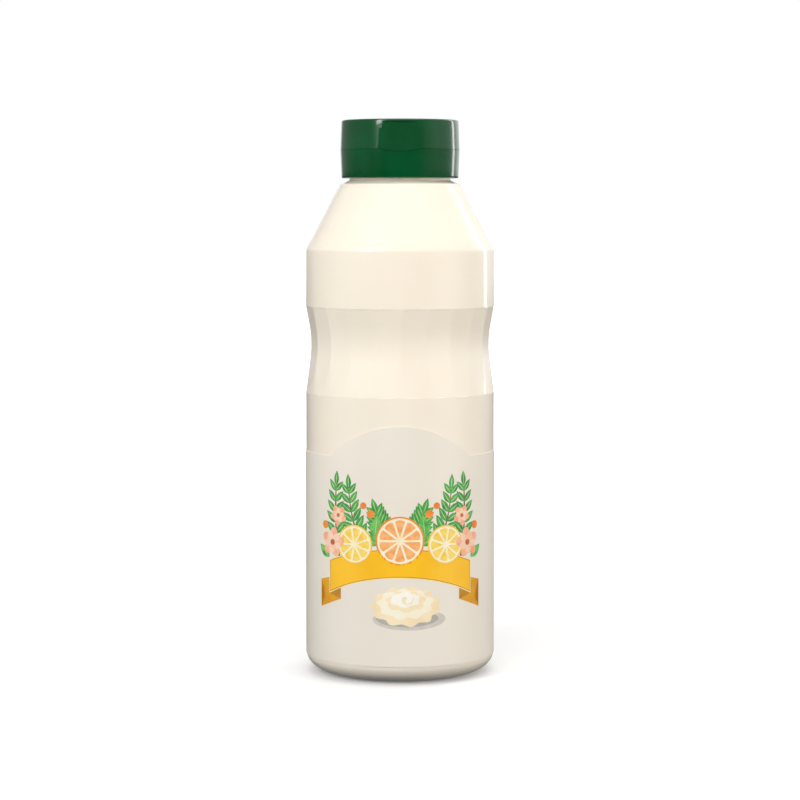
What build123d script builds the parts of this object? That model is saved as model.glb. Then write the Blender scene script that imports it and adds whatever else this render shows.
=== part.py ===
"""A round squeeze bottle of mayonnaise with a flip-top cap, shut and full.

Frame: +Z up, origin at the centre of the foot, front of the bottle towards -Y.
Pieces: the filled bottle, the wrap-around label, the cap's skirt, its flip-top lid and the
hinge web at the back. All lengths are in millimetres, all angles in degrees.
"""

import os
from math import acos, atan2, cos, hypot, sin, sqrt, tan, radians

from build123d import *

# Bottle, from the foot up: a straight lower wall, the grip, a straight band, the shoulder cone,
# a slanted collar and the neck. The foot is rounded off as a quarter of an ellipse.
body_radius = 40.0
lower_wall_top = 119.9
foot_round_width = 12.9
foot_round_height = 8.0
foot_ring_width = 4.5
push_up_height = 3.6
push_up_rim_rounding = 3.0
grip_height = 36.4
band_height = 24.1
shoulder_height = 27.4
shoulder_edge_rounding = 3.0
shoulder_top_rounding = 0.9
collar_width = 4.0
collar_height = 1.6
neck_radius = 21.4
neck_root_rounding = 0.6

# Grip: flat upright panels curve in to a waist between two straight flanks, and stop at a small
# step at each end. The ridges between them are blunt and flare into notches at the upper step.
panel_count = 22
waist_rise = 20.5
waist_depth = 2.4
waist_curve_radius = 45.0
upper_step = 0.25
lower_step = 0.17
ridge_height = 0.33
ridge_notch_height = 5.0

# Label, wrapped round the lower wall, with a low dome at the front
label_thickness = 0.3
label_foot_margin = 0.1
label_grip_margin = 11.7
dome_rise = 13.2
dome_half_width = 29.0

# Cap: the skirt and the lid are both widest where they part
cap_neck_gap = 0.9
skirt_height = 12.0
skirt_wall = 3.75
skirt_taper = 0.45
skirt_low_rounding = 0.9
skirt_deck = 2.4
bore_clearance = 0.1
lid_height = 12.5
lid_taper = 0.45
lid_top_rounding = 0.9
lid_rim_width = 3.8
lid_dish_depth = 0.5
lid_dish_rounding = 0.4
parting_chamfer = 0.14

# Thumb recess: a flat on the front of the lid, and the lip that dips into the skirt
recess_depth = 1.55
recess_top_margin = 1.1
recess_top_width = 14.4
recess_side_slope = 11.0
recess_corner_rounding = 1.6
lip_drop = 1.05
lip_thickness = 1.3
lip_gap = 0.18

# Hinge web, let into a flat-bottomed pocket at the back of lid and skirt
hinge_width = 11.0
hinge_height = 5.2
hinge_pocket_depth = 1.2
hinge_inset = 0.15
hinge_gap = 0.2
hinge_groove_radius = 0.4

# Reach of a cutting tool past the surface it cuts
overshoot = 5.0

# Heights above the foot that follow from the sizes above
grip_low_z = lower_wall_top
grip_waist_z = grip_low_z + waist_rise
grip_high_z = grip_low_z + grip_height
band_top_z = grip_high_z + band_height
shoulder_top_z = band_top_z + shoulder_height
neck_base_z = shoulder_top_z + collar_height
skirt_low_z = neck_base_z + cap_neck_gap
parting_z = skirt_low_z + skirt_height
deck_low_z = parting_z - skirt_deck
lid_top_z = parting_z + lid_height
label_low_z = foot_round_height + label_foot_margin
dome_top_z = grip_low_z - label_grip_margin
label_high_z = dome_top_z - dome_rise

# Radii that follow from the sizes above
waist_radius = body_radius - waist_depth
shoulder_top_radius = neck_radius + collar_width
bore_radius = neck_radius + bore_clearance
cap_radius = bore_radius + skirt_wall
recess_flat = cap_radius - recess_depth
hinge_flat = cap_radius - hinge_pocket_depth


def tangent_point(end, outward):
    """Where a straight flank from `end` touches the waist's curve, moved out by `outward`.

    Points are (radius, height). The flank leaves the curve towards the end's side of the waist.
    """
    centre_radius = waist_radius + outward + waist_curve_radius
    across = centre_radius - end[0]
    along = abs(end[1] - grip_waist_z)
    turn = atan2(along, across) - acos(waist_curve_radius / hypot(across, along))
    side = 1 if end[1] > grip_waist_z else -1
    return (
        centre_radius - waist_curve_radius * cos(turn),
        grip_waist_z + side * waist_curve_radius * sin(turn),
    )


def along_line(start, end, z):
    """The point at height z on the line through two points, as (radius, height)."""
    share = (z - start[1]) / (end[1] - start[1])
    return start[0] + share * (end[0] - start[0]), z


def bottle():
    """The filled bottle: one revolved solid, with the grip's panels cut into it."""
    ring_outer = body_radius - foot_round_width
    ring_inner = ring_outer - foot_ring_width
    push_up_top = (0, push_up_height)

    # The ridges follow the panels, further out, and run out to the full radius at both ends.
    wall_end = (body_radius, grip_low_z)
    band_end = (body_radius, grip_high_z)
    ridge_flank_end = (body_radius - upper_step + ridge_height, grip_high_z)
    ridge_low = tangent_point(wall_end, ridge_height)
    ridge_high = tangent_point(ridge_flank_end, ridge_height)
    notch = along_line(ridge_high, ridge_flank_end, grip_high_z - ridge_notch_height)

    with BuildPart() as part:
        with BuildSketch(Plane.XZ) as half:
            with BuildLine():
                ThreePointArc(push_up_top, push_up_middle(ring_inner), (ring_inner, 0))
                Line((ring_inner, 0), (ring_outer, 0))
                EllipticalCenterArc(
                    (ring_outer, foot_round_height),
                    foot_round_width,
                    foot_round_height,
                    start_angle=270,
                    arc_size=90,
                )
                Polyline((body_radius, foot_round_height), wall_end, ridge_low)
                ThreePointArc(ridge_low, (waist_radius + ridge_height, grip_waist_z), ridge_high)
                Polyline(
                    ridge_high,
                    notch,
                    band_end,
                    (body_radius, band_top_z),
                    (shoulder_top_radius, shoulder_top_z),
                    (neck_radius, neck_base_z),
                    (neck_radius, deck_low_z),
                    (0, deck_low_z),
                    push_up_top,
                )
            make_face()
            for corner, rounding in (
                ((ring_inner, 0), push_up_rim_rounding),
                ((body_radius, band_top_z), shoulder_edge_rounding),
                ((shoulder_top_radius, shoulder_top_z), shoulder_top_rounding),
                ((neck_radius, neck_base_z), neck_root_rounding),
            ):
                fillet(nearest_vertex(half, corner), rounding)
        revolve(axis=Axis.Z)
    return part.part - panel_cutters()


def push_up_middle(rim_radius):
    """A point half-way along the arc of the hollow under the foot."""
    sphere_radius = (rim_radius**2 + push_up_height**2) / (2 * push_up_height)
    half_way = rim_radius / 2
    drop = sphere_radius - sqrt(sphere_radius**2 - half_way**2)
    return half_way, push_up_height - drop


def nearest_vertex(sketch, corner):
    """The vertex of a sketch that is nearest to (radius, height), in the sketch's own plane."""
    return sketch.vertices().sort_by_distance(Vector(*corner))[0]


def panel_cutters():
    """One upright cutter for each panel, turned round the bottle."""
    low = (body_radius - lower_step, grip_low_z)
    high = (body_radius - upper_step, grip_high_z)
    lower_touch = tangent_point(low, 0)
    upper_touch = tangent_point(high, 0)
    outer = body_radius + overshoot
    with BuildSketch(Plane.XZ) as section:
        with BuildLine():
            Line(low, lower_touch)
            ThreePointArc(lower_touch, (waist_radius, grip_waist_z), upper_touch)
            # The upper step is square, and the lower one slopes down at 45 degrees.
            Polyline(upper_touch, high, (outer, high[1]), (outer, low[1] - (outer - low[0])), low)
        make_face()
    reach = sqrt(body_radius**2 - waist_radius**2)
    cutter = extrude(section.sketch, reach, both=True)
    pitch = 360 / panel_count
    return [Rot(0, 0, (number + 0.5) * pitch - 90) * cutter for number in range(panel_count)]


def label():
    """The wrap-around label: a thin sleeve whose top edge rises in a dome at the front."""
    outer = body_radius + label_thickness
    height = dome_top_z - label_low_z
    tube = Cylinder(outer, height) - Cylinder(body_radius, height)
    sleeve = Pos(0, 0, label_low_z + height / 2) * tube
    dome_radius = (dome_half_width**2 + dome_rise**2) / (2 * dome_rise)
    dome = Pos(0, -outer, dome_top_z - dome_radius) * (
        Rot(90, 0, 0) * Cylinder(dome_radius, 2 * outer)
    )
    front_top = Pos(0, -outer, label_high_z + dome_rise) * Box(3 * outer, 2 * outer, 2 * dome_rise)
    all_round = Pos(0, 0, (label_low_z + label_high_z) / 2) * Box(
        3 * outer, 3 * outer, label_high_z - label_low_z
    )
    return sleeve & (all_round + (dome & front_top))


def skirt():
    """The cap's lower part: a deck on the neck, and a wall that narrows downwards."""
    low_radius = cap_radius - skirt_taper
    with BuildPart() as part:
        with BuildSketch(Plane.XZ) as half:
            with BuildLine():
                Polyline(
                    (0, deck_low_z),
                    (bore_radius, deck_low_z),
                    (bore_radius, skirt_low_z),
                    (low_radius, skirt_low_z),
                    (cap_radius, parting_z),
                    (0, parting_z),
                    close=True,
                )
            make_face()
            fillet(nearest_vertex(half, (low_radius, skirt_low_z)), skirt_low_rounding)
            chamfer(nearest_vertex(half, (cap_radius, parting_z)), parting_chamfer)
        revolve(axis=Axis.Z)
    notch = lip_roll(lip_drop) & lip_block(overshoot, lip_gap)
    return part.part - notch - hinge_block(hinge_width, hinge_height)


def lid():
    """The flip-top lid: widest where it parts from the skirt, with the thumb recess and its lip."""
    top_radius = cap_radius - lid_taper
    dish_radius = top_radius - lid_rim_width
    dish_z = lid_top_z - lid_dish_depth
    with BuildPart() as part:
        with BuildSketch(Plane.XZ) as half:
            with BuildLine():
                Polyline(
                    (0, parting_z),
                    (cap_radius, parting_z),
                    (top_radius, lid_top_z),
                    (dish_radius, lid_top_z),
                    (dish_radius - lid_dish_depth, dish_z),
                    (0, dish_z),
                    close=True,
                )
            make_face()
            fillet(nearest_vertex(half, (top_radius, lid_top_z)), lid_top_rounding)
            fillet(nearest_vertex(half, (dish_radius, lid_top_z)), lid_dish_rounding)
            chamfer(nearest_vertex(half, (cap_radius, parting_z)), parting_chamfer)
        revolve(axis=Axis.Z)
    lip = lip_roll(lip_drop - lip_gap) & lip_block()
    return part.part + lip - recess_cutter() - hinge_block(hinge_width, hinge_height)


def recess_half_width():
    """Half the recess's width, where its flat meets the widest part of the cap."""
    return sqrt(cap_radius**2 - recess_flat**2)


def lip_roll(drop):
    """A roll along Y, wide as the recess, whose lowest line lies `drop` under the parting."""
    half_width = recess_half_width()
    roll_radius = (half_width**2 + lip_drop**2) / (2 * lip_drop)
    return Pos(0, -cap_radius, parting_z - drop + roll_radius) * (
        Rot(90, 0, 0) * Cylinder(roll_radius, 4 * overshoot)
    )


def lip_block(outward=0.0, gap=0.0):
    """The space under the parting that the lip may fill, or that the notch takes for it."""
    inner_y = lip_thickness + gap - recess_flat
    outer_y = -cap_radius - outward
    return Pos(0, (inner_y + outer_y) / 2, parting_z - lip_drop) * Box(
        2 * recess_half_width(), inner_y - outer_y, 2 * lip_drop
    )


def recess_cutter():
    """Everything in front of the recess's flat, between sides that spread downwards."""
    high = lid_top_z - recess_top_margin
    low = parting_z - 2 * lip_drop
    half_top = recess_top_width / 2
    half_low = half_top + (high - low) * tan(radians(recess_side_slope))
    with BuildSketch(Plane.XZ) as outline:
        with BuildLine():
            Polyline(
                (-half_top, high), (half_top, high), (half_low, low), (-half_low, low), close=True
            )
        make_face()
        top_corners = [nearest_vertex(outline, (side * half_top, high)) for side in (-1, 1)]
        fillet(top_corners, recess_corner_rounding)
    return Pos(0, -recess_flat, 0) * extrude(outline.sketch, recess_depth + overshoot)


def hinge_block(width, height):
    """A block across the parting at the back, outwards from the pocket's flat floor."""
    return Pos(0, hinge_flat + overshoot / 2, parting_z) * Box(width, overshoot, height)


def hinge():
    """The hinge web: a strap that lies on the pocket's floor, with a groove to bend at."""
    outer = cap_radius - hinge_inset
    disc = Pos(0, 0, parting_z) * Cylinder(outer, 2 * hinge_height)
    strap = disc & hinge_block(hinge_width - 2 * hinge_gap, hinge_height - 2 * hinge_gap)
    groove = Pos(0, outer, parting_z) * (
        Rot(0, 90, 0) * Cylinder(hinge_groove_radius, 2 * hinge_width)
    )
    return strap - groove


def main():
    """Write each piece to a STEP file of its own."""
    os.makedirs("parts", exist_ok=True)
    pieces = {
        "bottle": bottle(),
        "label": label(),
        "cap_skirt": skirt(),
        "cap_lid": lid(),
        "cap_hinge": hinge(),
    }
    for name, piece in pieces.items():
        export_step(piece, f"parts/{name}.step")
        print(name, "volume", round(piece.volume / 1000, 2), "ml")


main()
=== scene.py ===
"""Looks of the mayonnaise squeeze bottle: materials, the label's print, floor, light and camera.

All lengths are in metres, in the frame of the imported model. The print is made of thin closed
films that lie on the label: places on it are (around, height), in millimetres, where `around`
runs along the label's surface from the middle of its front.
"""

import math

import bmesh
import bpy
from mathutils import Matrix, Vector

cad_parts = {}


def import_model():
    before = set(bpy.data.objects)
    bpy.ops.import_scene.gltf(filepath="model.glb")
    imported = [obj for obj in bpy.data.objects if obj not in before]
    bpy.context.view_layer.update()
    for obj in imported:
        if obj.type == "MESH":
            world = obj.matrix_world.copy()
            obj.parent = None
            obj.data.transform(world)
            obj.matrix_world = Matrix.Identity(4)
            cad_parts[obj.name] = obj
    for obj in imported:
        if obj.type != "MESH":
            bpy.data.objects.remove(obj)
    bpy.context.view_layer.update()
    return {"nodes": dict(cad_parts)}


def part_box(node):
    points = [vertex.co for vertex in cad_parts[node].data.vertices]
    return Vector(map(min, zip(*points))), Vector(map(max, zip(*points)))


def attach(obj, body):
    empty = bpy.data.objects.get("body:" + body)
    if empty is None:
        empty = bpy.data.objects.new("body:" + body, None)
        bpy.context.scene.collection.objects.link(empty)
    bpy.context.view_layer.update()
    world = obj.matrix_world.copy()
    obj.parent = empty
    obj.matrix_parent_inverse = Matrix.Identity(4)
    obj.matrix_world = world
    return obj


MM = 0.001
SMOOTH_ANGLE = math.radians(24)  # edges that turn by more than this stay crisp
RIDGE_ANGLE = math.radians(6.5)  # the same on the grip, whose upright panels meet at a small angle
GRIP_RANGE = (0.112, 0.170)  # heights below and above the grip, both on a plain wall
WELD_DISTANCE = 1e-6

# Camera
CAMERA_DISTANCE = 1.058
CAMERA_HEIGHT = 0.20115
CAMERA_PITCH = math.radians(4.6)
CAMERA_LENS = 111.86  # millimetres, like the sensor
CAMERA_SENSOR = 36

# The print's films reach a little into the label, and are cut into strips that follow its curve.
FILM_ROOT = 0.1 * MM
STRIP_WIDTH = 1.5 * MM

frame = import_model()
nodes = frame["nodes"]
label_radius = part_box("label")[1].x


# ---------------------------------------------------------------- materials

# Base colours, as linear red, green and blue
BOTTLE_CREAM = (0.95, 0.865, 0.74)
BOTTLE_CREAM_DEEP = (0.93, 0.84, 0.705)
LABEL_PALE = (0.86, 0.80, 0.70)
LABEL_SHADE = (0.83, 0.77, 0.67)
CAP_GREEN = (0.0, 0.075, 0.020)
CAP_GREEN_DEEP = (0.0, 0.062, 0.014)


def principled(name, color, roughness, coat=0.0, coat_roughness=0.1, subsurface=0.0):
    """A material with one Principled shader, its node tree and that shader."""
    material = bpy.data.materials.new(name)
    material.use_nodes = True
    tree = material.node_tree
    shader = tree.nodes["Principled BSDF"]
    shader.inputs["Base Color"].default_value = (*color, 1)
    shader.inputs["Roughness"].default_value = roughness
    shader.inputs["Coat Weight"].default_value = coat
    shader.inputs["Coat Roughness"].default_value = coat_roughness
    shader.inputs["Subsurface Weight"].default_value = subsurface
    return material, tree, shader


def noise(tree, scale, detail=2.0, stretch=(1, 1, 1)):
    """Noise over the object's own coordinates, with `scale` cells to the metre."""
    place = tree.nodes.new("ShaderNodeTexCoord")
    mapping = tree.nodes.new("ShaderNodeMapping")
    mapping.inputs["Scale"].default_value = stretch
    texture = tree.nodes.new("ShaderNodeTexNoise")
    texture.inputs["Scale"].default_value = scale
    texture.inputs["Detail"].default_value = detail
    tree.links.new(place.outputs["Object"], mapping.inputs["Vector"])
    tree.links.new(mapping.outputs["Vector"], texture.inputs["Vector"])
    return texture.outputs["Fac"]


def tint(tree, shader, factor, low_color, high_color, low=0.35, high=0.65):
    """Base colour from one colour to another as the factor goes from low to high."""
    ramp = tree.nodes.new("ShaderNodeValToRGB")
    ramp.color_ramp.elements[0].position = low
    ramp.color_ramp.elements[0].color = (*low_color, 1)
    ramp.color_ramp.elements[1].position = high
    ramp.color_ramp.elements[1].color = (*high_color, 1)
    tree.links.new(factor, ramp.inputs["Fac"])
    tree.links.new(ramp.outputs["Color"], shader.inputs["Base Color"])


def roughen(tree, shader, factor, low, high):
    """Roughness from low to high as the factor goes from 0 to 1."""
    spread = tree.nodes.new("ShaderNodeMapRange")
    spread.inputs["To Min"].default_value = low
    spread.inputs["To Max"].default_value = high
    tree.links.new(factor, spread.inputs["Value"])
    tree.links.new(spread.outputs["Result"], shader.inputs["Roughness"])


def bump(tree, shader, heights, distance):
    """Relief of the given depth in metres, from a noise factor."""
    node = tree.nodes.new("ShaderNodeBump")
    node.inputs["Distance"].default_value = distance
    tree.links.new(heights, node.inputs["Height"])
    tree.links.new(node.outputs["Normal"], shader.inputs["Normal"])


def bottle_plastic():
    """Glossy cream plastic, lit through a little, with the slow waves of a blown wall."""
    material, tree, shader = principled(
        "bottle_plastic", BOTTLE_CREAM, 0.3, coat=0.5, coat_roughness=0.08, subsurface=0.15
    )
    shader.inputs["Subsurface Radius"].default_value = (1.0, 0.8, 0.5)
    shader.inputs["Subsurface Scale"].default_value = 2 * MM
    tint(tree, shader, noise(tree, 14, stretch=(1, 1, 0.5)), BOTTLE_CREAM_DEEP, BOTTLE_CREAM)
    roughen(tree, shader, noise(tree, 900), 0.26, 0.36)
    bump(tree, shader, noise(tree, 45, stretch=(1, 1, 0.4)), 0.25 * MM)
    return material


def label_film():
    """Satin pale film over the cream bottle, faintly dimpled where it was pressed on."""
    material, tree, shader = principled(
        "label_film", LABEL_PALE, 0.42, coat=0.25, coat_roughness=0.2
    )
    tint(tree, shader, noise(tree, 18), LABEL_SHADE, LABEL_PALE)
    roughen(tree, shader, noise(tree, 700), 0.36, 0.48)
    bump(tree, shader, noise(tree, 160), 0.06 * MM)
    return material


def cap_plastic():
    """Deep green moulded plastic, glossy, with a fine orange-peel surface."""
    material, tree, shader = principled(
        "cap_plastic", CAP_GREEN, 0.2, coat=0.6, coat_roughness=0.06
    )
    tint(tree, shader, noise(tree, 60), CAP_GREEN_DEEP, CAP_GREEN)
    roughen(tree, shader, noise(tree, 1200), 0.16, 0.26)
    bump(tree, shader, noise(tree, 650), 0.02 * MM)
    return material


def ink(name, light, dark, scale=260.0, stretch=(1, 1, 1)):
    """Printed ink that goes from a light to a darker tone in soft patches, under a satin film."""
    material, tree, shader = principled(name, light, 0.4, coat=0.25, coat_roughness=0.2)
    tint(tree, shader, noise(tree, scale, 3.0, stretch), dark, light, 0.3, 0.6)
    roughen(tree, shader, noise(tree, 700), 0.34, 0.46)
    bump(tree, shader, noise(tree, 900), 0.01 * MM)
    return material


def dress_cad_nodes():
    """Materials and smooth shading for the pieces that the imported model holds."""
    smooth = smooth_group()
    plastics = {"bottle": bottle_plastic(), "label": label_film()}
    cap = cap_plastic()
    for name, piece in nodes.items():
        piece.data.materials.clear()
        piece.data.materials.append(plastics.get(name, cap))
        modifier = piece.modifiers.new("smooth", "NODES")
        modifier.node_group = smooth


def compare(group, operation, value, against):
    """Whether a field is GREATER_THAN or LESS_THAN a number or another field."""
    node = group.nodes.new("FunctionNodeCompare")
    node.operation = operation
    group.links.new(value, node.inputs["A"])
    if isinstance(against, float):
        node.inputs["B"].default_value = against
    else:
        group.links.new(against, node.inputs["B"])
    return node.outputs[0]


def crisp_edges(group):
    """Picks the edges that stay crisp: sharp ones everywhere, and on the grip the ridges too."""
    place = group.nodes.new("GeometryNodeInputPosition")
    split = group.nodes.new("ShaderNodeSeparateXYZ")
    group.links.new(place.outputs[0], split.inputs[0])
    height = split.outputs["Z"]
    on_grip = group.nodes.new("FunctionNodeBooleanMath")
    on_grip.operation = "AND"
    group.links.new(compare(group, "GREATER_THAN", height, GRIP_RANGE[0]), on_grip.inputs[0])
    group.links.new(compare(group, "LESS_THAN", height, GRIP_RANGE[1]), on_grip.inputs[1])
    limit = group.nodes.new("GeometryNodeSwitch")
    limit.input_type = "FLOAT"
    limit.inputs["False"].default_value = SMOOTH_ANGLE
    limit.inputs["True"].default_value = RIDGE_ANGLE
    group.links.new(on_grip.outputs[0], limit.inputs["Switch"])
    angle = group.nodes.new("GeometryNodeInputMeshEdgeAngle")
    return compare(group, "GREATER_THAN", angle.outputs["Unsigned Angle"], limit.outputs[0])


def smooth_group():
    """Geometry nodes that weld a faceted mesh and shade it smooth, but for its crisp edges."""
    group = bpy.data.node_groups.new("smooth_by_angle", "GeometryNodeTree")
    group.interface.new_socket("Geometry", in_out="INPUT", socket_type="NodeSocketGeometry")
    group.interface.new_socket("Geometry", in_out="OUTPUT", socket_type="NodeSocketGeometry")
    start = group.nodes.new("NodeGroupInput")
    end = group.nodes.new("NodeGroupOutput")
    drop = group.nodes.new("GeometryNodeRemoveAttribute")
    drop.inputs["Name"].default_value = "custom_normal"
    weld = group.nodes.new("GeometryNodeMergeByDistance")
    weld.inputs["Distance"].default_value = WELD_DISTANCE
    faces = group.nodes.new("GeometryNodeSetShadeSmooth")
    edges = group.nodes.new("GeometryNodeSetShadeSmooth")
    edges.domain = "EDGE"
    edges.inputs["Shade Smooth"].default_value = False
    link = group.links.new
    link(start.outputs[0], drop.inputs[0])
    link(drop.outputs[0], weld.inputs["Geometry"])
    link(weld.outputs[0], faces.inputs["Geometry"])
    link(faces.outputs[0], edges.inputs["Geometry"])
    link(crisp_edges(group), edges.inputs["Selection"])
    link(edges.outputs[0], end.inputs[0])
    return group


# ---------------------------------------------------------------- shapes in the print

LEAF_BIAS = 0.85  # below 1, a leaf is widest nearer to its base
VEIN_WIDTH = 0.35
SEGMENT_TIP = 0.16  # gap at the centre of a cut fruit, as a share of its radius
SEGMENT_ROUNDING = 0.06  # how far a segment's outer corners draw in, as a share of its radius
SEGMENT_FILL = 0.82  # a segment's share of its pitch; the rest is pith
# A petal's distance from the centre, half length and half width, as shares of the flower's radius
PETAL_REACH, PETAL_HALF_LENGTH, PETAL_HALF_WIDTH = 0.56, 0.47, 0.34


def ellipse(centre, half_width, half_height, turn=0.0, points=40):
    """An ellipse's outline, turned by an angle in degrees."""
    angles = [step * math.tau / points for step in range(points)]
    outline = [(half_width * math.cos(angle), half_height * math.sin(angle)) for angle in angles]
    return turned(outline, centre, turn)


def circle(centre, radius):
    """A circle's outline."""
    return ellipse(centre, radius, radius)


def turned(outline, centre, turn):
    """An outline turned by an angle in degrees about its origin, then moved to a centre."""
    cos, sin = math.cos(math.radians(turn)), math.sin(math.radians(turn))
    return [(centre[0] + x * cos - y * sin, centre[1] + x * sin + y * cos) for x, y in outline]


def leaf(base, turn, length, width, points=12):
    """A pointed leaf that grows from its base at an angle in degrees."""
    side = [
        (length * step / points, width / 2 * math.sin(math.pi * (step / points) ** LEAF_BIAS))
        for step in range(points + 1)
    ]
    other = [(x, -y) for x, y in reversed(side[1:-1])]
    return turned(side + other, base, turn)


def vein(base, turn, length):
    """A leaf's midrib: a thin spindle along its middle."""
    return leaf(polar(base, turn, 0.08 * length), turn, 0.8 * length, VEIN_WIDTH)


def polar(centre, turn, reach):
    """The point at a distance from a centre, at an angle in degrees."""
    angle = math.radians(turn)
    return centre[0] + reach * math.cos(angle), centre[1] + reach * math.sin(angle)


def wedge(centre, radius, turn, spread, points=6):
    """One segment of a cut fruit: a rounded wedge that points at the centre."""
    tip = polar(centre, turn, SEGMENT_TIP * radius)
    half = spread / 2
    rim = []
    for step in range(points + 1):
        reach = radius * (1 - SEGMENT_ROUNDING * abs(2 * step / points - 1) ** 3)
        rim.append(polar(centre, turn - half + spread * step / points, reach))
    return [tip] + rim


def segments(centre, radius, count, turn):
    """The pulp of a cut fruit, as `count` wedges with pith between them."""
    pitch = 360 / count
    spread = SEGMENT_FILL * pitch
    return [wedge(centre, radius, turn + pitch * number, spread) for number in range(count)]


def blossom(centre, radius, petals, turn, points=24):
    """The petals of an open flower."""
    outlines = []
    for number in range(petals):
        heading = turn + 360 / petals * number
        middle = polar(centre, heading, PETAL_REACH * radius)
        half_length, half_width = PETAL_HALF_LENGTH * radius, PETAL_HALF_WIDTH * radius
        outlines.append(ellipse(middle, half_length, half_width, heading, points))
    return outlines


def scallop(centre, half_width, half_height, lobes, depth, turn=0.0, points=96):
    """A round outline with soft lobes, such as a piped rosette's."""
    outline = []
    for step in range(points):
        angle = step * math.tau / points
        swell = 1 - depth * (0.5 + 0.5 * math.cos(lobes * angle + math.radians(turn)))
        around = centre[0] + half_width * swell * math.cos(angle)
        outline.append((around, centre[1] + half_height * swell * math.sin(angle)))
    return outline


def strip(path, widths):
    """A band along a path of points, as wide at each as its entry in `widths`."""
    left, right = [], []
    for number, point in enumerate(path):
        before, after = path[max(number - 1, 0)], path[min(number + 1, len(path) - 1)]
        along = Vector((after[0] - before[0], after[1] - before[1])).normalized()
        half = widths[number] / 2
        left.append((point[0] - along.y * half, point[1] + along.x * half))
        right.append((point[0] + along.y * half, point[1] - along.x * half))
    return left + right[::-1]


def mirrored(outlines):
    """The outlines, and the same on the other side of the label's middle."""
    return outlines + [[(-x, y) for x, y in reversed(outline)] for outline in outlines]


# ---------------------------------------------------------------- films on the label

# How far each film stands off the label, in millimetres: what lies over another stands higher
LIFTS = {
    "print_twigs": 0.03,
    "print_leaves_back": 0.036,
    "print_veins_back": 0.045,
    "print_leaves_front": 0.05,
    "print_veins_front": 0.058,
    "print_lemon_rind": 0.066,
    "print_orange_rind": 0.07,
    "print_pith": 0.078,
    "print_orange_pulp": 0.086,
    "print_lemon_pulp": 0.086,
    "print_petals": 0.09,
    "print_petals_inner": 0.1,
    "print_hearts": 0.11,
    "print_buds": 0.09,
    "print_banner_tails": 0.03,
    "print_banner_folds": 0.04,
    "print_banner_rim": 0.05,
    "print_banner_line": 0.06,
    "print_banner": 0.07,
    "print_shadow_soft": 0.03,
    "print_shadow": 0.04,
    "print_cream": 0.05,
    "print_cream_light": 0.06,
    "print_cream_middle": 0.07,
    "print_cream_top": 0.08,
    "print_cream_swirl": 0.09,
    "label_seam": 0.05,
}


def cut_into_strips(sheet):
    """Cuts a flat sheet into upright strips, so that it can bend round the label."""
    low = min(v.co.x for v in sheet.verts)
    high = max(v.co.x for v in sheet.verts)
    cut = math.floor(low / STRIP_WIDTH) + 1
    while cut * STRIP_WIDTH < high:
        bmesh.ops.bisect_plane(
            sheet,
            geom=sheet.verts[:] + sheet.edges[:] + sheet.faces[:],
            plane_co=(cut * STRIP_WIDTH, 0, 0),
            plane_no=(1, 0, 0),
        )
        cut += 1


def wrap_round_label(sheet, lift):
    """Thickens a flat sheet and bends it round the label, from inside its face to a height off it."""
    grown = bmesh.ops.extrude_face_region(sheet, geom=sheet.faces[:])
    roots = {v for v in grown["geom"] if isinstance(v, bmesh.types.BMVert)}
    for v in sheet.verts:
        radius = label_radius + (-FILM_ROOT if v in roots else lift)
        angle = v.co.x / label_radius
        v.co = (radius * math.sin(angle), -radius * math.cos(angle), v.co.z)
    bmesh.ops.recalc_face_normals(sheet, faces=sheet.faces[:])


def film(name, outlines, material):
    """A closed thin film on the label for each outline, all in one piece."""
    sheet = bmesh.new()
    for outline in outlines:
        sheet.faces.new([sheet.verts.new((x * MM, 0, y * MM)) for x, y in outline])
    bmesh.ops.triangulate(sheet, faces=sheet.faces[:])
    cut_into_strips(sheet)
    wrap_round_label(sheet, LIFTS[name] * MM)
    mesh = bpy.data.meshes.new(name)
    sheet.to_mesh(mesh)
    sheet.free()
    mesh.shade_smooth()
    mesh.set_sharp_from_angle(angle=SMOOTH_ANGLE)
    mesh.materials.append(material)
    piece = bpy.data.objects.new(name, mesh)
    bpy.context.scene.collection.objects.link(piece)
    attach(piece, "root")


# ---------------------------------------------------------------- the print

BANNER_TOP = 57.8  # height of the band's upper edge at the middle
BANNER_FALL = 6.3  # how far that edge falls towards the ends
BANNER_HALF = 33.0  # half the band's width
BANNER_HEIGHT = 12.6
BANNER_FLARE = 1.6  # how much higher the band is at its ends than at its middle
BANNER_LINE_INSET, BANNER_FIELD_INSET = 0.45, 0.75
TAIL_TUCK = 6.5  # how far a tail reaches back behind the band
TAIL_DROP = 4.6  # how far it hangs below the band there
TAIL_REACH = 5.5  # how far it stands out past the band
TAIL_NOTCH_REACH = 2.4  # how far its notch does


def banner_point(around, share):
    """A point of the banner: share 0 is on its upper edge and 1 on its lower edge."""
    out = (around / BANNER_HALF) ** 2
    height = BANNER_HEIGHT + BANNER_FLARE * out
    return around, BANNER_TOP - BANNER_FALL * out - share * height


def banner_band(inset, steps=48):
    """The banner's main band, drawn in from its edges by `inset` millimetres."""
    half = BANNER_HALF - inset
    places = [half * (2 * step / steps - 1) for step in range(steps + 1)]
    share = inset / BANNER_HEIGHT
    upper = [banner_point(place, share) for place in places]
    lower = [banner_point(place, 1 - share) for place in reversed(places)]
    return upper + lower


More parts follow.
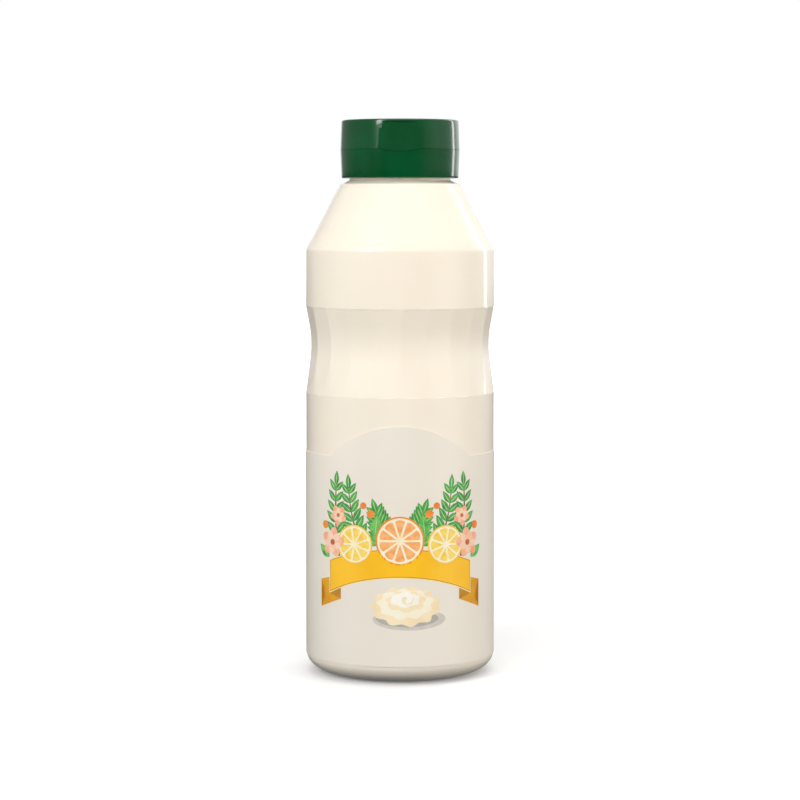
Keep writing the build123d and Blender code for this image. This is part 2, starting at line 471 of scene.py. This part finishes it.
def banner():
    """A plain golden arched banner with swallow-tailed ends folded behind it."""
    root = BANNER_HALF - TAIL_TUCK
    fold_z = banner_point(root, 1)[1]
    corner = banner_point(BANNER_HALF, 1)
    tail = [
        (root, fold_z + 3),
        (root, fold_z - TAIL_DROP),
        (BANNER_HALF + TAIL_REACH, corner[1] - 6.2),
        (BANNER_HALF + TAIL_NOTCH_REACH, corner[1] - 0.6),
        (BANNER_HALF + TAIL_REACH, corner[1] + 5.4),
        (BANNER_HALF - 1, corner[1] + 7),
    ]
    fold = [(root, fold_z + 0.6), (root, fold_z - TAIL_DROP), corner, (BANNER_HALF, corner[1] + 1)]
    gold = ink("ink_gold", (1.0, 0.56, 0.02), (0.97, 0.50, 0.015), 60)
    deep = ink("ink_gold_deep", (0.58, 0.27, 0.02), (0.48, 0.21, 0.012), 160)
    pale = ink("ink_gold_pale", (0.98, 0.78, 0.42), (0.95, 0.70, 0.32), 160)
    amber = ink("ink_amber", (0.80, 0.38, 0.02), (0.70, 0.31, 0.015), 140)
    film("print_banner_tails", mirrored([tail]), amber)
    film("print_banner_folds", mirrored([fold]), deep)
    film("print_banner_rim", [banner_band(0)], pale)
    film("print_banner_line", [banner_band(BANNER_LINE_INSET)], deep)
    film("print_banner", [banner_band(BANNER_FIELD_INSET)], gold)


# In the garland, lengths are in millimetres and angles in degrees.
# Sprigs that rise behind the fruit: base, first direction, bend and length
SPRIGS = (
    ((15.0, 56.0), 62.0, 26.0, 27.0),
    ((27.0, 52.0), 78.0, 18.0, 31.0),
    ((4.5, 60.0), 60.0, 14.0, 13.5),
)
TOP_LEAF_LENGTH, TOP_LEAF_WIDTH = 6.4, 2.6
# Single leaves in front of the sprigs: base, direction and length
FRONT_LEAVES = (
    ((9.0, 59.0), 28.0, 9.0),
    ((10.5, 62.0), 96.0, 9.5),
    ((22.0, 58.0), 118.0, 8.5),
    ((33.0, 52.5), 38.0, 8.0),
    ((33.5, 55.0), 100.0, 8.0),
)
# Cut fruit: centres, and the radii of rind, pith and pulp
ORANGE, LEFT_LEMON, RIGHT_LEMON = (0.0, 60.8), (-19.8, 58.8), (19.8, 58.8)
ORANGE_RIND, ORANGE_PITH, ORANGE_PULP = 10.2, 9.5, 8.7
LEMON_RIND, LEMON_PITH, LEMON_PULP = 8.2, 7.6, 6.9
ORANGE_SEGMENTS, LEMON_SEGMENTS = 10, 9
# Flowers: centre, radii of the outer petals, the inner petals and the heart, and turn
FLOWERS = (
    ((31.0, 59.0), 6.2, 4.6, 1.25, 100),
    ((27.8, 70.5), 4.2, 3.0, 0.85, 60),
)
PETALS = 5
# Buds: centre and radius
BUDS = (((12.3, 71.8), 1.7), ((15.6, 75.2), 1.4), ((35.5, 66.0), 1.7))


def sprig(base, turn, bend, length, steps=14):
    """A bent twig with leaves on both sides: its outline, its leaves and their veins."""
    path, point, heading = [], base, turn
    for step in range(steps + 1):
        path.append(point)
        heading = turn + bend * step / steps
        point = polar(point, heading, length / steps)
    twig = strip(path, [0.95 - 0.6 * step / steps for step in range(steps + 1)])
    leaves, veins = [], []
    for step in range(3, steps + 1, 2):
        size = 8.6 - 3.0 * step / steps
        heading = turn + bend * step / steps
        for side in (-1, 1):
            direction = heading + side * (52 - 14 * step / steps)
            leaves.append(leaf(path[step], direction, size, 0.42 * size))
            veins.append(vein(path[step], direction, size))
    leaves.append(leaf(path[-1], heading, TOP_LEAF_LENGTH, TOP_LEAF_WIDTH))
    veins.append(vein(path[-1], heading, TOP_LEAF_LENGTH))
    return twig, leaves, veins


def foliage():
    """Twigs with leaves on both sides, and single leaves in front of them."""
    twigs, back_leaves, back_veins = [], [], []
    for base, turn, bend, length in SPRIGS:
        twig, leaves, veins = sprig(base, turn, bend, length)
        twigs.append(twig)
        back_leaves += leaves
        back_veins += veins
    front_leaves = [leaf(base, turn, size, 0.5 * size) for base, turn, size in FRONT_LEAVES]
    front_veins = [vein(base, turn, size) for base, turn, size in FRONT_LEAVES]
    green = ink("ink_green", (0.10, 0.42, 0.09), (0.02, 0.22, 0.05), 300)
    spring = ink("ink_spring_green", (0.22, 0.58, 0.13), (0.05, 0.36, 0.07), 300)
    light = ink("ink_vein", (0.48, 0.74, 0.30), (0.36, 0.62, 0.22), 300)
    brown = ink("ink_brown", (0.30, 0.10, 0.05), (0.17, 0.05, 0.03), 400)
    film("print_twigs", mirrored(twigs), brown)
    film("print_leaves_back", mirrored(back_leaves), green)
    film("print_veins_back", mirrored(back_veins), light)
    film("print_leaves_front", mirrored(front_leaves), spring)
    film("print_veins_front", mirrored(front_veins), light)


def fruit(orange_rind):
    """A cut orange in the middle and a cut lemon on each side."""
    lemon_rind = ink("ink_lemon_rind", (0.96, 0.62, 0.05), (0.88, 0.48, 0.03), 200)
    pith = ink("ink_pith", (0.97, 0.88, 0.66), (0.94, 0.80, 0.52), 200)
    lemon_pulp = ink("ink_lemon_pulp", (0.97, 0.72, 0.14), (0.93, 0.56, 0.05), 420)
    orange_pulp = ink("ink_orange_pulp", (0.97, 0.50, 0.20), (0.90, 0.32, 0.08), 420)
    lemons = (LEFT_LEMON, RIGHT_LEMON)
    film("print_orange_rind", [circle(ORANGE, ORANGE_RIND)], orange_rind)
    film("print_lemon_rind", [circle(centre, LEMON_RIND) for centre in lemons], lemon_rind)
    piths = [circle(ORANGE, ORANGE_PITH)] + [circle(centre, LEMON_PITH) for centre in lemons]
    film("print_pith", piths, pith)
    film("print_orange_pulp", segments(ORANGE, ORANGE_PULP, ORANGE_SEGMENTS, 90), orange_pulp)
    left_pulp = segments(LEFT_LEMON, LEMON_PULP, LEMON_SEGMENTS, 80)
    right_pulp = segments(RIGHT_LEMON, LEMON_PULP, LEMON_SEGMENTS, 100)
    film("print_lemon_pulp", left_pulp + right_pulp, lemon_pulp)


def flowers(bud_ink):
    """Open flowers with a second row of petals between the first, and round buds."""
    peach = ink("ink_peach", (0.96, 0.52, 0.34), (0.90, 0.36, 0.22), 260)
    blush = ink("ink_blush", (0.98, 0.68, 0.50), (0.95, 0.54, 0.36), 260)
    heart_ink = ink("ink_heart", (0.62, 0.22, 0.05), (0.42, 0.12, 0.04), 500)
    outer_petals, inner_petals, hearts = [], [], []
    for centre, outer, inner, heart, turn in FLOWERS:
        outer_petals += blossom(centre, outer, PETALS, turn)
        inner_petals += blossom(centre, inner, PETALS, turn + 180 / PETALS)
        hearts.append(circle(centre, heart))
    film("print_petals", mirrored(outer_petals), peach)
    film("print_petals_inner", mirrored(inner_petals), blush)
    film("print_hearts", mirrored(hearts), heart_ink)
    film("print_buds", mirrored([circle(centre, radius) for centre, radius in BUDS]), bud_ink)


def garland():
    """Leafy twigs, cut citrus and blossoms, in a row behind the banner's upper edge."""
    orange_rind = ink("ink_orange_rind", (0.90, 0.30, 0.05), (0.80, 0.22, 0.03), 200)
    foliage()
    fruit(orange_rind)
    flowers(orange_rind)


ROSETTE = (2.5, 33.5)  # its centre
# Its shadows: centre's step from the rosette's, half width and half height
SOFT_SHADOW = (1.6, -5.6, 15.6, 4.4)
SHADOW = (0.6, -5.2, 13.2, 3.4)
# Its tiers, from the widest up: piece, ink, centre's step from the rosette's, half width, half
# height, number of lobes, their depth and turn
TIERS = (
    ("print_cream", "ink_cream", (0.0, 0.0), 15.2, 8.6, 11, 0.13, 0.0),
    ("print_cream_light", "ink_cream_light", (-0.2, 1.0), 12.2, 6.6, 9, 0.14, 40),
    ("print_cream_middle", "ink_cream", (0.0, 2.1), 8.6, 4.6, 7, 0.15, 80),
    ("print_cream_top", "ink_cream_top", (-0.3, 2.9), 6.6, 3.4, 6, 0.16, 20),
)
SWIRL_RISE = 3.2  # the swirl's centre above the rosette's
SWIRL_STEPS, SWIRL_TURN, SWIRL_GROWTH = 10, 40, 0.35


def rosette():
    """A pale piped rosette with a soft grey shadow, below the banner."""
    around, height = ROSETTE
    shade = ink("ink_shade", (0.50, 0.46, 0.42), (0.42, 0.39, 0.37), 200)
    soft = ink("ink_shade_soft", (0.68, 0.63, 0.56), (0.60, 0.56, 0.50), 200)
    creams = {
        "ink_cream": ink("ink_cream", (0.96, 0.82, 0.55), (0.91, 0.72, 0.42), 160),
        "ink_cream_light": ink("ink_cream_light", (0.98, 0.91, 0.72), (0.96, 0.84, 0.60), 160),
        "ink_cream_top": ink("ink_cream_top", (0.99, 0.96, 0.86), (0.97, 0.91, 0.74), 160),
    }
    shadows = (("print_shadow_soft", SOFT_SHADOW, soft), ("print_shadow", SHADOW, shade))
    for name, (aside, up, half_width, half_height), tone in shadows:
        film(name, [ellipse((around + aside, height + up), half_width, half_height)], tone)
    for name, tone, (aside, up), half_width, half_height, lobes, depth, turn in TIERS:
        tier = scallop((around + aside, height + up), half_width, half_height, lobes, depth, turn)
        film(name, [tier], creams[tone])
    middle = (around, height + SWIRL_RISE)
    steps = range(SWIRL_STEPS + 1)
    swirl = [polar(middle, SWIRL_TURN * step, SWIRL_GROWTH * step) for step in steps]
    widths = [0.3 + 0.05 * min(step, SWIRL_STEPS - step) for step in steps]
    film("print_cream_swirl", [strip(swirl, widths)], creams["ink_cream"])


# The label's lap: its reach to each side of the middle of the back, and its ends
LAP_LEFT, LAP_RIGHT = 6, 1
LAP_TOP = 94.9
LAP_FOOT_GAP = 0.1


def label_seam():
    """The label's glued overlap: a narrow lap down the middle of the back."""
    half_round = math.pi * label_radius / MM
    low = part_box("label")[0].z / MM + LAP_FOOT_GAP
    left, right = half_round - LAP_LEFT, half_round + LAP_RIGHT
    lap = [(left, low), (right, low), (right, LAP_TOP), (left, LAP_TOP)]
    film("label_seam", [lap], nodes["label"].data.materials[0])


# ---------------------------------------------------------------- stage

FLOOR_HALF = 60.0
FLOOR_WHITE = (0.93, 0.93, 0.925)
# The floor's own light, and the distances from the bottle between which it grows
GLOW_LOW, GLOW_HIGH = 0.1, 0.75
GLOW_START, GLOW_END = 0.1, 1.2

# Brightness of the mirrored studio by direction, from -1 to 1 along each axis
SURROUND_ACROSS = ((-1.0, 0.25), (-0.42, 0.3), (-0.3, 1.0), (0.56, 1.0), (0.72, 0.6), (1.0, 0.55))
SURROUND_ALONG = ((-1.0, 0.1), (-0.75, 0.14), (-0.3, 0.75), (0.5, 1.0), (1.0, 1.0))
SURROUND_UPWARDS = ((-1.0, 0.16), (-0.06, 0.18), (-0.01, 1.0), (1.0, 1.0))

# Softboxes, all aimed at one point: name, place, width and height, watts, and the colour
SOFTBOX_AIM = (0, 0, 0.13)
PLAIN, WARM = (1, 1, 1), (1.0, 0.97, 0.93)
MIRRORED_SOFTBOXES = (
    ("key", (-0.75, -0.85, 0.75), (0.22, 0.8), 5.5, PLAIN),
    ("top", (0.0, -0.15, 1.4), (1.0, 1.0), 2.6, PLAIN),
    ("strip_right", (0.75, 0.55, 0.42), (0.12, 0.7), 1.2, PLAIN),
)
FILL_SOFTBOXES = (
    ("fill_front", (-0.1, -1.2, 0.6), (0.9, 0.6), 6.8, PLAIN),
    ("fill_right", (1.0, -0.55, 0.2), (0.8, 0.6), 8.0, WARM),
    ("fill_left", (-1.0, -0.35, 0.15), (0.8, 0.6), 5.5, PLAIN),
)


def floor():
    """A wide pale floor, which the bottle is neither lit by nor mirrors."""
    mesh = bpy.data.meshes.new("floor")
    half = FLOOR_HALF
    corners = [(-half, -half, 0), (half, -half, 0), (half, half, 0), (-half, half, 0)]
    mesh.from_pydata(corners, [], [(0, 1, 2, 3)])
    piece = bpy.data.objects.new("floor", mesh)
    bpy.context.scene.collection.objects.link(piece)
    material, tree, shader = principled("floor_white", FLOOR_WHITE, 0.7)
    roughen(tree, shader, noise(tree, 40), 0.65, 0.75)
    glow_outwards(tree, shader)
    mesh.materials.append(material)
    piece.visible_diffuse = False
    piece.visible_glossy = False


def glow_outwards(tree, shader):
    """Light of the floor's own that grows away from the bottle, so that it runs on to white."""
    place = tree.nodes.new("ShaderNodeTexCoord")
    reach = tree.nodes.new("ShaderNodeVectorMath")
    reach.operation = "LENGTH"
    spread = tree.nodes.new("ShaderNodeMapRange")
    spread.inputs["From Min"].default_value = GLOW_START
    spread.inputs["From Max"].default_value = GLOW_END
    spread.inputs["To Min"].default_value = GLOW_LOW
    spread.inputs["To Max"].default_value = GLOW_HIGH
    tree.links.new(place.outputs["Object"], reach.inputs[0])
    tree.links.new(reach.outputs["Value"], spread.inputs["Value"])
    tree.links.new(spread.outputs["Result"], shader.inputs["Emission Strength"])
    shader.inputs["Emission Color"].default_value = (1, 1, 1, 1)


def softbox(name, place, size, watts, color):
    """A rectangular light that faces the bottle's middle."""
    light = bpy.data.lights.new(name, "AREA")
    light.shape = "RECTANGLE"
    light.size, light.size_y = size
    light.energy = watts
    light.color = color
    lamp = bpy.data.objects.new(name, light)
    lamp.location = place
    lamp.rotation_euler = (Vector(SOFTBOX_AIM) - Vector(place)).to_track_quat("-Z", "Y").to_euler()
    bpy.context.scene.collection.objects.link(lamp)
    return lamp


def world():
    """White to the eye, and to the bottle a studio: dark in front and below, bright behind."""
    surround = bpy.data.worlds.new("studio")
    bpy.context.scene.world = surround
    surround.use_nodes = True
    tree = surround.node_tree
    mirrored_studio = tree.nodes["Background"]
    place = tree.nodes.new("ShaderNodeTexCoord")
    split = tree.nodes.new("ShaderNodeSeparateXYZ")
    tree.links.new(place.outputs["Generated"], split.inputs["Vector"])
    across = world_ramp(tree, split.outputs["X"], SURROUND_ACROSS)
    along = world_ramp(tree, split.outputs["Y"], SURROUND_ALONG)
    upwards = world_ramp(tree, split.outputs["Z"], SURROUND_UPWARDS)
    color = times(tree, times(tree, across, along), upwards)
    tree.links.new(color, mirrored_studio.inputs["Color"])
    backdrop = tree.nodes.new("ShaderNodeBackground")
    backdrop.inputs["Color"].default_value = (1, 1, 1, 1)
    seen = tree.nodes.new("ShaderNodeLightPath")
    choice = tree.nodes.new("ShaderNodeMixShader")
    tree.links.new(seen.outputs["Is Camera Ray"], choice.inputs["Fac"])
    tree.links.new(mirrored_studio.outputs["Background"], choice.inputs[1])
    tree.links.new(backdrop.outputs["Background"], choice.inputs[2])
    tree.links.new(choice.outputs["Shader"], tree.nodes["World Output"].inputs["Surface"])


def times(tree, color, other):
    """The product of two colours."""
    product = tree.nodes.new("ShaderNodeMix")
    product.data_type = "RGBA"
    product.blend_type = "MULTIPLY"
    product.inputs["Factor"].default_value = 1.0
    tree.links.new(color, product.inputs[6])
    tree.links.new(other, product.inputs[7])
    return product.outputs[2]


def world_ramp(tree, direction, stops):
    """Brightness over one axis of a direction, from a list of (direction, brightness)."""
    spread = tree.nodes.new("ShaderNodeMapRange")
    spread.inputs["From Min"].default_value = -1
    tree.links.new(direction, spread.inputs["Value"])
    ramp = tree.nodes.new("ShaderNodeValToRGB")
    for number, (place, brightness) in enumerate(stops):
        share = (place + 1) / 2
        if number < 2:
            stop = ramp.color_ramp.elements[number]
            stop.position = share
        else:
            stop = ramp.color_ramp.elements.new(share)
        stop.color = (brightness, brightness, brightness, 1)
    tree.links.new(spread.outputs["Result"], ramp.inputs["Fac"])
    return ramp.outputs["Color"]


def studio():
    """Soft light from the left, above and behind at the right, and fills that leave no highlight."""
    for box in MIRRORED_SOFTBOXES:
        softbox(*box)
    for box in FILL_SOFTBOXES:
        softbox(*box).visible_glossy = False
    world()


def camera():
    """The camera, level with the shoulder and looking slightly down."""
    eye = bpy.data.cameras.new("camera")
    eye.lens = CAMERA_LENS
    eye.sensor_width = CAMERA_SENSOR
    holder = bpy.data.objects.new("camera", eye)
    holder.location = (0, -CAMERA_DISTANCE, CAMERA_HEIGHT)
    holder.rotation_euler = (math.pi / 2 - CAMERA_PITCH, 0, 0)
    bpy.context.scene.collection.objects.link(holder)
    bpy.context.scene.camera = holder


camera()
bpy.context.scene.view_settings.view_transform = "Standard"
dress_cad_nodes()
garland()
banner()
rosette()
label_seam()
floor()
studio()
